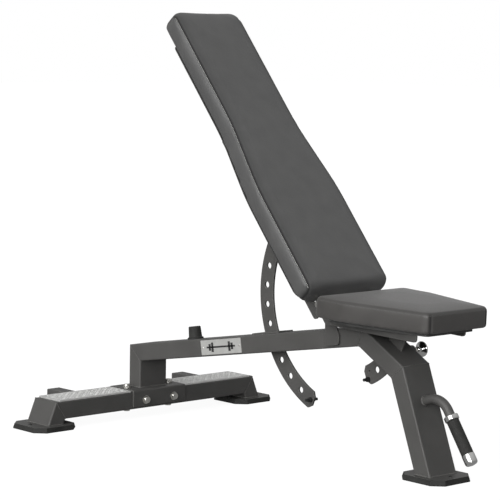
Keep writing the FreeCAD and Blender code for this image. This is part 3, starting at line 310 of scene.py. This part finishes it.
DOWNWARD = (0, 0, -1)
SEAM_BEAD = 0.0011
FOOT_BEAD = 0.0022
weld("weld_post_foot", joint_line("main_post", along=DOWNWARD), 0.0024)
weld("weld_beam_shoulder", joint_line("main_beam", "leg_shoulder"), SEAM_BEAD)
weld("weld_shoulder_leg", joint_line("leg_shoulder", "front_leg"), SEAM_BEAD)
weld("weld_leg_foot", joint_line("front_leg", along=DOWNWARD), FOOT_BEAD)
for side in ("left", "right"):
    weld(f"weld_end_leg_{side}", joint_line("rear_crossbar", f"rear_leg_{side}"), SEAM_BEAD)
    weld(f"weld_end_foot_{side}", joint_line(f"rear_leg_{side}", along=DOWNWARD), FOOT_BEAD)
LEG_LEAN = math.radians(21)
handle_root = (-math.cos(LEG_LEAN), 0, -math.sin(LEG_LEAN))
weld("weld_handle_root", joint_line("handle_tube", along=handle_root), 0.0026)
for pin in ("backrest", "seat"):
    weld(f"weld_{pin}_pin", joint_line(f"{pin}_pin_housing", along=(0, -1, 0)), 0.002)
discard(ripple)

# ---- Fasteners: zinc plated bolts, nuts, washers, spacers and pins, slightly yellowed and scuffed.
zinc = finish("zinc_plate", (0.56, 0.55, 0.52), 0.32, metallic=1.0, patch=60, shift=0.15, grain=500)
wear(zinc, "saddle_bolts", "saddle_washers", "saddle_nuts", "hinge_bolt", "hinge_nut", "hinge_washers",
     "hinge_spacers", "pivot_sleeve", "wheel_axles", "pin_springs", "backrest_screws", "seat_screws",
     "backrest_pin_plunger", "seat_pin_plunger", "badge_rivets")
black_zinc = finish("black_zinc", (0.03, 0.03, 0.03), 0.35, metallic=0.6, patch=60, grain=500)
wear(black_zinc, "arc_stop_bolt", "selector_stop_bolt", "foot_screws")

# ---- Pull knobs: turned steel trumpets, chrome plated, screwed onto the ends of the pull pins.
chrome = finish("chrome_plate", (0.64, 0.64, 0.63), 0.13, metallic=1.0, patch=30, shift=0.04, grain=300,
                depth=0.00001)


def turned(name, steps, turn, body, material, sides=56):
    """A turned piece: a disc is drawn out along its axis and widened or narrowed at each step."""
    bpy.ops.object.select_all(action="DESELECT")
    first = steps[0]
    bpy.ops.mesh.primitive_circle_add(vertices=sides, radius=first[1], fill_type="NGON", location=(0, 0, 0))
    piece = bpy.context.object
    piece.name = name
    bpy.ops.object.mode_set(mode="EDIT")
    bpy.ops.mesh.select_all(action="SELECT")
    bpy.ops.transform.translate(value=(0, 0, first[0]))
    for (low, narrow), (high, wide) in zip(steps, steps[1:]):
        bpy.ops.mesh.extrude_region_move(TRANSFORM_OT_translate={"value": (0, 0, high - low)})
        bpy.ops.transform.resize(value=(wide / narrow, wide / narrow, 1), center_override=(0, 0, high))
    bpy.ops.mesh.select_all(action="SELECT")
    bpy.ops.mesh.normals_make_consistent(inside=False)
    bpy.ops.object.mode_set(mode="OBJECT")
    piece.data.transform(turn)
    bpy.ops.object.shade_smooth_by_angle(angle=math.radians(32))
    piece.data.materials.append(material)
    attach(piece, body)
    return piece


# Each step is a height over the knob's foot and the radius there.
KNOB_STEPS = [
    (0, 0.0074), (0.0006, 0.008), (0.0035, 0.0076), (0.0065, 0.0077), (0.009, 0.0086), (0.0115, 0.0106),
    (0.0135, 0.0134), (0.0152, 0.0166), (0.0164, 0.0192), (0.0172, 0.0202), (0.0182, 0.0205),
    (0.0196, 0.0205), (0.0205, 0.0201), (0.0214, 0.0186), (0.0222, 0.015), (0.0227, 0.01), (0.0229, 0.004)]
for pin in ("backrest", "seat"):
    low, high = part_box(f"{pin}_pin_knob")
    axis = (low + high) / 2
    knob = turned(f"{pin}_knob", KNOB_STEPS, facing((axis.x, low.y, axis.z), (0, 1, 0), (1, 0, 0)),
                  f"{pin}_pin", chrome)
    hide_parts(f"{pin}_pin_knob")

# ---- Handle: a rubber grip with rings moulded round it, between a chrome collar and a chrome end cap.
# The rubber's edges also get the painted highlight.
rubber = finish("moulded_rubber", (0.022, 0.022, 0.021), 0.6, patch=40, shift=0.2, grain=1400, depth=0.0001,
                edge=(0.045, 0.045, 0.043), highlight_width=0.0015, specular=0.12)
grip_middle = sum(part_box("handle_grip"), Vector()) / 2
collar_middle = sum(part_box("handle_collar"), Vector()) / 2
outward = (grip_middle - collar_middle).normalized()
GRIP = 0.016
GRIP_LONG = 0.092
COLLAR_LONG = 0.014
CAP_LONG = 0.030
GRIP_RIBS = 20
END_GAP = 0.0004
GROOVE_DEPTH = 0.0006
grip_steps = []
for rib in range(GRIP_RIBS):
    start = END_GAP + rib * (GRIP_LONG - 2 * END_GAP) / GRIP_RIBS
    pitch = (GRIP_LONG - 2 * END_GAP) / GRIP_RIBS
    grip_steps += [(start, GRIP - GROOVE_DEPTH), (start + pitch * 0.25, GRIP), (start + pitch * 0.8, GRIP)]
grip_steps.append((GRIP_LONG - END_GAP, GRIP - GROOVE_DEPTH))
grip_foot = grip_middle - outward * GRIP_LONG / 2
grip = turned("handle_rubber", grip_steps, facing(grip_foot, outward, (0, 1, 0)), "frame", rubber)
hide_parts("handle_grip")
COLLAR = GRIP + 0.0028
collar = turned("handle_ring", [
    (0, COLLAR - 0.003), (0.0004, COLLAR - 0.001), (0.0014, COLLAR - 0.0002), (0.0024, COLLAR),
    (0.0105, COLLAR), (0.0116, COLLAR - 0.0002), (0.0132, COLLAR - 0.0012),
    (COLLAR_LONG - END_GAP, COLLAR - 0.003)],
    facing(grip_foot - outward * COLLAR_LONG, outward, (0, 1, 0)), "frame", chrome)
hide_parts("handle_collar")
CAP = GRIP + 0.0006
cap_foot = grip_foot + outward * GRIP_LONG
cap = turned("handle_end", [
    (0.0002, CAP - 0.0014), (0.0008, CAP - 0.0004), (0.0018, CAP), (0.02, CAP), (0.0235, CAP - 0.0004),
    (0.0262, CAP - 0.0016), (0.0278, CAP - 0.0036), (0.0286, CAP - 0.0062), (CAP_LONG - 0.0001, CAP - 0.011)],
    facing(cap_foot, outward, (0, 1, 0)), "frame", chrome)
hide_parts("handle_cap")

# ---- Rubber: moulded boots under the feet, the transport wheels, and the bumper under the backrest.
wear(rubber, "foot_boot_rear_left", "foot_boot_rear_right", "foot_boot_front", "rubber_bumper",
     "transport_wheel_left", "transport_wheel_right")

# ---- Boards: the black moulded back cover and the painted plywood under the seat.
cover = finish("black_board", (0.034, 0.034, 0.033), 0.55, patch=25, shift=0.2, grain=700, depth=0.0001)
wear(cover, "backrest_panel", "seat_board")

# ---- Tread plates: pale aluminium treads on the rear crossbar, pressed with rows of raised lozenges.
tread = finish("pale_tread", (0.56, 0.56, 0.55), 0.5, metallic=0.6, patch=70, shift=0.12, grain=400,
               depth=0.0003)
wear(tread, "tread_plates")


def bar_blank(name, long, wide, high, edge, segments=2):
    """A small flat bar with rounded edges, lying with its foot at the origin."""
    bpy.ops.object.select_all(action="DESELECT")
    bpy.ops.mesh.primitive_cube_add(size=1)
    bar = bpy.context.object
    bar.name = name
    bpy.ops.object.mode_set(mode="EDIT")
    bpy.ops.mesh.select_all(action="SELECT")
    bpy.ops.transform.resize(value=(long, wide, high))
    bpy.ops.transform.translate(value=(0, 0, high / 2))
    bpy.ops.mesh.bevel(offset=edge, segments=segments, affect="EDGES")
    bpy.ops.object.mode_set(mode="OBJECT")
    bpy.ops.object.shade_smooth_by_angle(angle=math.radians(40))
    return bar


tread_low, tread_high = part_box("tread_plates")
tread_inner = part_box("rear_saddle")[1].y + 0.005
stud = bar_blank("stud", 0.0085, 0.0032, 0.0009, 0.0006)
places = []
STUD_PITCH = 0.0115
TREAD_MARGIN = 0.008
rows = int((tread_high.x - tread_low.x - TREAD_MARGIN) / STUD_PITCH)
columns = int((tread_high.y - tread_inner - TREAD_MARGIN) / STUD_PITCH)
for side in (-1, 1):
    for row in range(rows):
        for column in range(columns):
            x = (tread_low.x + tread_high.x) / 2 + (row - (rows - 1) / 2) * STUD_PITCH
            y = side * ((tread_inner + tread_high.y) / 2 + (column - (columns - 1) / 2) * STUD_PITCH)
            slant = math.radians(45 if (row + column) % 2 else -45)
            places.append(Matrix.Translation((x, y, tread_high.z - 0.0001)) @ Matrix.Rotation(slant, 4, "Z"))
rows_of("tread_lozenges", stud, places, "frame", tread)
discard(stud)

# ---- Badge: a brushed steel plate riveted to the beam, with a plain dumbbell sign raised on it.
steel = finish("brushed_steel", (0.62, 0.62, 0.6), 0.38, metallic=0.7, patch=50, shift=0.06, grain=600)
wear(steel, "badge_plate")
ink = finish("badge_black", (0.02, 0.02, 0.02), 0.4, patch=80, shift=0.2, grain=900)
badge_middle = sum(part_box("badge_plate"), Vector()) / 2
BEAM_RISE = math.radians(9.8)
uphill = Vector((math.cos(BEAM_RISE), 0, math.sin(BEAM_RISE)))
badge_face = Vector((badge_middle.x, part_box("badge_plate")[0].y, badge_middle.z))
SIGN_THICK = 0.0006
SIGN_EDGE = 0.0002
sign_plate = bar_blank("sign_plate", 0.0085, 0.026, SIGN_THICK, SIGN_EDGE)
sign_bar = bar_blank("sign_bar", 0.118, 0.0048, SIGN_THICK, SIGN_EDGE)
signs = [facing(badge_face + uphill * reach, (0, -1, 0), uphill) @ Matrix.Diagonal((1, tall, 1, 1))
         for reach, tall in ((-0.046, 0.7), (-0.035, 1), (0.035, 1), (0.046, 0.7))]
rows_of("badge_sign", sign_plate, signs, "frame", ink)
rows_of("badge_sign_bar", sign_bar, [facing(badge_face, (0, -1, 0), uphill)], "frame", ink)
discard(sign_plate)
discard(sign_bar)

# ---- Upholstery: foam on plywood in sewn black grained leathercloth, screwed to the rails through the
# board. The seat's cover is a slightly warmer copy of the backrest's leathercloth, painted darker as shade.
PAD_EDGE = 0.008
BACK_LEAN = math.radians(230)
SEAT_DROOP = math.radians(1.7)
OUTLINE_STEP = 0.004
STUFFING_STEPS = 20


def leathercloth(name, dark, light):
    """Grained leathercloth with pores and soft wrinkles, duller in its creases and darkened there by painted
    shade.
    """
    material = bpy.data.materials.new(name)
    material.use_nodes = True
    tree = material.node_tree
    shader = tree.nodes["Principled BSDF"]
    shader.inputs["Specular IOR Level"].default_value = 0.45
    shader.inputs["Sheen Weight"].default_value = 0.08
    place = tree.nodes.new("ShaderNodeTexCoord")
    pores = tree.nodes.new("ShaderNodeTexVoronoi")
    pores.inputs["Scale"].default_value = 420
    pores.feature = "SMOOTH_F1"
    tree.links.new(place.outputs["Object"], pores.inputs["Vector"])
    wrinkles = tree.nodes.new("ShaderNodeTexNoise")
    wrinkles.inputs["Scale"].default_value = 22
    wrinkles.inputs["Detail"].default_value = 8
    tree.links.new(place.outputs["Object"], wrinkles.inputs["Vector"])
    tone = tree.nodes.new("ShaderNodeValToRGB")
    tone.color_ramp.elements[0].color = (*dark, 1)
    tone.color_ramp.elements[1].color = (*light, 1)
    tree.links.new(wrinkles.outputs["Fac"], tone.inputs["Fac"])
    # Painted shade: a point attribute darkens the colour along the seams and corners.
    painted_shade_mask = tree.nodes.new("ShaderNodeAttribute")
    painted_shade_mask.attribute_name = "crease_shade"
    shade = tree.nodes.new("ShaderNodeMix")
    shade.data_type = "RGBA"
    shade.inputs["B"].default_value = (0.006, 0.006, 0.006, 1)
    tree.links.new(painted_shade_mask.outputs["Fac"], shade.inputs["Factor"])
    tree.links.new(tone.outputs["Color"], shade.inputs["A"])
    tree.links.new(shade.outputs["Result"], shader.inputs["Base Color"])
    gloss = tree.nodes.new("ShaderNodeMapRange")
    gloss.inputs["To Min"].default_value = 0.36
    gloss.inputs["To Max"].default_value = 0.5
    tree.links.new(pores.outputs["Distance"], gloss.inputs["Value"])
    dull = tree.nodes.new("ShaderNodeMix")
    dull.inputs["B"].default_value = 0.95
    tree.links.new(painted_shade_mask.outputs["Fac"], dull.inputs["Factor"])
    tree.links.new(gloss.outputs["Result"], dull.inputs["A"])
    tree.links.new(dull.outputs["Result"], shader.inputs["Roughness"])
    fine = tree.nodes.new("ShaderNodeBump")
    fine.inputs["Strength"].default_value = 0.35
    fine.inputs["Distance"].default_value = 0.0004
    tree.links.new(pores.outputs["Distance"], fine.inputs["Height"])
    broad = tree.nodes.new("ShaderNodeBump")
    broad.inputs["Strength"].default_value = 0.25
    broad.inputs["Distance"].default_value = 0.001
    tree.links.new(wrinkles.outputs["Fac"], broad.inputs["Height"])
    tree.links.new(fine.outputs["Normal"], broad.inputs["Normal"])
    tree.links.new(broad.outputs["Normal"], shader.inputs["Normal"])
    return material


LEATHERS = {
    "backrest": leathercloth("backrest_leather", (0.045, 0.045, 0.045), (0.068, 0.068, 0.067)),
    # Painted shade: the seat's copy is darker than the backrest's.
    "seat": leathercloth("seat_leather_shaded", (0.032, 0.0305, 0.029), (0.049, 0.0465, 0.044))}


def pad_outline(mesh, level):
    """The outline of a pad in its own frame, as evenly spaced points, read where its rounded edge begins."""
    seen = {(round(v.co.x, 5), round(v.co.y, 5)) for v in mesh.vertices if abs(v.co.z - level) < 1e-4}
    points = np.array(sorted(seen))
    middle = (points.max(0) + points.min(0)) / 2
    radius = np.linalg.norm(points - middle, axis=1)
    points = points[radius > 0.08]
    angle = np.arctan2(points[:, 1] - middle[1], points[:, 0] - middle[0])
    points = points[np.argsort(angle)]
    loop = np.vstack([points, points[:1]])
    run = np.concatenate([[0], np.cumsum(np.linalg.norm(np.diff(loop, axis=0), axis=1))])
    steps = np.linspace(0, run[-1], int(run[-1] / OUTLINE_STEP), endpoint=False)
    return np.column_stack([np.interp(steps, run, loop[:, i]) for i in (0, 1)])


def edge_distance(co, outline):
    """How far each point is from the outline, seen square to the pad."""
    near = np.full(len(co), 9.0)
    for start in range(0, len(outline), 60):
        block = outline[start:start + 60]
        gap = np.linalg.norm(co[:, None, :2] - block[None], axis=2).min(1)
        near = np.minimum(near, gap)
    return near


def half_width(outline):
    """A pad's half width along its length, with the sides carried straight on past its corners."""
    low = outline[:, 0].min() + 0.04
    high = outline[:, 0].max() - 0.04
    stations = np.linspace(low, high, 80)
    widths = [np.abs(outline[np.abs(outline[:, 0] - x) < 0.006, 1]).max() for x in stations]
    return stations, np.array(widths)


def upholster(name, node, body, turn, face, back, voxel, cap, crown, seam_at, groove, rolls=(), corners=()):
    """A stuffed pad: remeshed, blown up between its seam and its board, crowned, and pulled in at its seams.

    face and back are the levels of its front and of its board in the pad's own frame. cap limits how far
    the stuffing moves the cover. rolls are the radii of its two ends: such a pad has its face panel carried
    over both ends, and seams only along its sides.
    """
    away = 1 if face > back else -1
    bpy.ops.object.select_all(action="DESELECT")
    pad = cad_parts[node].copy()
    pad.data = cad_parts[node].data.copy()
    pad.name = name
    pad.parent = None
    for key in list(pad.keys()):
        del pad[key]
    bpy.context.collection.objects.link(pad)
    bpy.context.view_layer.objects.active = pad
    pad.select_set(True)
    upright = Matrix.Translation(HINGE) @ Matrix.Rotation(turn, 4, "Y")
    pad.data.transform(upright.inverted())
    outline = pad_outline(pad.data, face + away * -PAD_EDGE)
    bpy.ops.object.mode_set(mode="EDIT")
    bpy.ops.mesh.select_all(action="SELECT")
    bpy.ops.mesh.remove_doubles(threshold=1e-5)
    bpy.ops.object.mode_set(mode="OBJECT")
    # An even skin of small faces, which the stuffing and the seams can bend.
    remesh = pad.modifiers.new("skin", "REMESH")
    remesh.mode = "VOXEL"
    remesh.voxel_size = voxel
    remesh.use_smooth_shade = True
    bpy.ops.object.modifier_apply(modifier="skin")
    smooth = pad.modifiers.new("ease", "SMOOTH")
    smooth.iterations = 3
    bpy.ops.object.modifier_apply(modifier="ease")
    stations, widths = half_width(outline)

    def seam_gap(co):
        """How far each point is from the pad's seam, and how deep it lies under its face."""
        depth = away * (face - co[:, 2])
        rim = edge_distance(co, outline)
        if rolls:
            side = np.interp(co[:, 0], stations, widths) - np.abs(co[:, 1])
            return np.where(side > 0.001, np.abs(side - seam_at), seam_at), depth, rim, side - seam_at
        return np.hypot(rim - seam_at, depth - seam_at), depth, rim, rim - seam_at

    rest = coordinates(pad.data)
    seam, depth, rim, inside = seam_gap(rest)
    on_board = away * (rest[:, 2] - back) < 0.003
    held = pad.vertex_groups.new(name="held")
    pins = np.flatnonzero((seam < voxel) | on_board)
    held.add([int(i) for i in pins], 1.0, "REPLACE")
    cloth = pad.modifiers.new("stuffing", "CLOTH")
    cloth.settings.quality = 5
    cloth.settings.mass = 0.3
    cloth.settings.tension_stiffness = 12
    cloth.settings.compression_stiffness = 12
    cloth.settings.bending_stiffness = 0.6
    cloth.settings.use_pressure = True
    cloth.settings.uniform_pressure_force = 4
    cloth.settings.effector_weights.gravity = 0
    cloth.settings.vertex_group_mass = "held"
    cloth.point_cache.frame_start = 1
    cloth.point_cache.frame_end = STUFFING_STEPS
    for step in range(1, STUFFING_STEPS + 1):
        bpy.context.scene.frame_set(step)
    blown = pad.evaluated_get(bpy.context.evaluated_depsgraph_get())
    puffed = coordinates(blown.data)
    pad.modifiers.remove(cloth)
    pad.vertex_groups.clear()
    bpy.context.scene.frame_set(1)
    move = puffed - rest
    length = np.linalg.norm(move, axis=1, keepdims=True)
    move *= np.minimum(1, cap / np.maximum(length, 1e-9))
    print(name, "vertices", len(rest), "moved up to", round(float(length.max()) * 1000, 1), "mm")
    rest = rest + move
    pad.data.vertices.foreach_set("co", rest.ravel())
    pad.data.update()
    finer = pad.modifiers.new("finer", "SUBSURF")
    finer.levels = 1
    finer.render_levels = 1
    bpy.ops.object.modifier_apply(modifier="finer")
    co = coordinates(pad.data)
    seam, depth, rim, inside = seam_gap(co)
    thick = abs(face - back)
    upper = np.clip(1 - depth / thick, 0, 1)
    co[:, 2] += away * crown * (1 - np.exp(-rim / 0.034)) * np.clip(1 - depth / 0.014, 0, 1)
    ends = (outline[:, 0].min(), 1), (outline[:, 0].max(), -1)
    for (end, way), radius in zip(ends, rolls):
        reach = np.clip(way * (co[:, 0] - end), 0, radius)
        co[:, 2] -= away * upper * (radius - np.sqrt(radius**2 - (radius - reach) ** 2)) * 0.85
    pull = groove * np.exp(-(seam / 0.0034) ** 2)
    middle = np.array([outline[:, 0].mean(), 0])
    inward = middle - co[:, :2]
    inward /= np.linalg.norm(inward, axis=1, keepdims=True)
    if rolls:
        co[:, 2] -= away * pull * upper
    else:
        co[:, :2] += inward * pull[:, None] * 0.7
        co[:, 2] -= away * pull * 0.7
    # Painted shade: the cover's colour darkens along each seam, in a broad band on the face beside the
    # backrest's seams, and at the seat's corner seams.
    dark = np.exp(-(seam / 0.004) ** 2) * (1.0 if rolls else 0.3)
    if rolls:
        dark = np.maximum(dark, 0.75 * np.exp(-np.clip(inside, 0, 1) / 0.010) * (inside > 0))
    for spot in corners:
        post = outline[np.argmin(np.linalg.norm(outline - np.array(spot), axis=1))]
        near = np.linalg.norm(co[:, :2] - post, axis=1)
        sunk = np.exp(-(near / 0.004) ** 2) * np.clip(depth / 0.004, 0, 1)
        co[:, :2] += inward * sunk[:, None] * 0.0026
        dark = np.maximum(dark, 0.9 * sunk)
    if away > 0:
        co[:, 2] = np.maximum(co[:, 2], back + 0.0003)
    else:
        co[:, 2] = np.minimum(co[:, 2], back - 0.0003)
    pad.data.vertices.foreach_set("co", co.ravel())
    pad.data.update()
    crease_shade = pad.data.attributes.new("crease_shade", "FLOAT", "POINT")
    crease_shade.data.foreach_set("value", dark.astype(np.float32))
    pad.data.transform(upright)
    bpy.ops.object.shade_smooth()
    pad.data.materials.clear()
    pad.data.materials.append(LEATHERS[body])
    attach(pad, body)
    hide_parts(node)
    return pad, outline, upright


BACK_FACE = -0.0366
back_cushion, back_edge, back_upright = upholster(
    "backrest_cushion", "backrest_pad", "backrest", BACK_LEAN, face=BACK_FACE, back=0.0137, voxel=0.006,
    cap=0.003, crown=0.0085, seam_at=0.009, groove=0.0024, rolls=(0.03, 0.012))
seat_cushion, seat_edge, seat_upright = upholster(
    "seat_cushion", "seat_pad", "seat", SEAT_DROOP, face=0.032, back=-0.021, voxel=0.005, cap=0.004,
    crown=0.003, seam_at=0.0024, groove=0.0012,
    corners=((0.396, -0.106), (0.396, 0.106), (0.04, -0.16), (0.04, 0.16)))

# ---- Stitching: a row of pale thread beside each seam of the backrest, and of dark thread on the seat.
thread = finish("pale_thread", (0.4, 0.4, 0.38), 0.6, patch=300, shift=0.2, grain=2500, depth=0.0001)
dark_thread = finish("dark_thread", (0.07, 0.07, 0.068), 0.6, patch=300, shift=0.2, grain=2500, depth=0.0001)


def stitch(name, pad, upright, spots, body, yarn):
    """A row of short stitches laid on a pad's cover. Each spot is a place and the next one along the row."""
    one = bar_blank("one_stitch", 0.0034, 0.0009, 0.0007, 0.0003, segments=1)
    turns = []
    for spot, ahead in spots:
        _, place, normal, _ = pad.closest_point_on_mesh(upright @ Vector(spot))
        run = upright.to_3x3() @ (Vector(ahead) - Vector(spot))
        turns.append(facing(place - normal * 0.0002, normal, run))
    rows_of(name, one, turns, body, yarn)
    discard(one)


STITCH_PITCH = 0.005
STITCH_START = 0.03
STITCH_END = 0.925
BESIDE_EDGE = 0.0042
SEAT_STITCH_LEVEL = 0.0245
stations, widths = half_width(back_edge)
spots = []
for side in (-1, 1):
    for index in range(int((STITCH_END - STITCH_START) / STITCH_PITCH)):
        pair = []
        for x in (STITCH_START + index * STITCH_PITCH, STITCH_START + index * STITCH_PITCH + STITCH_PITCH):
            pair.append((x, side * (np.interp(x, stations, widths) - BESIDE_EDGE), BACK_FACE))
        spots.append(pair)
stitch("backrest_stitching", back_cushion, back_upright, spots, "backrest", thread)
count = int(len(seat_edge) * OUTLINE_STEP / STITCH_PITCH)
ring = [seat_edge[int(index * len(seat_edge) / count)] for index in range(count)]
spots = [((*spot, SEAT_STITCH_LEVEL), (*after, SEAT_STITCH_LEVEL))
         for spot, after in zip(ring, ring[1:] + ring[:1])]
stitch("seat_stitching", seat_cushion, seat_upright, spots, "seat", dark_thread)
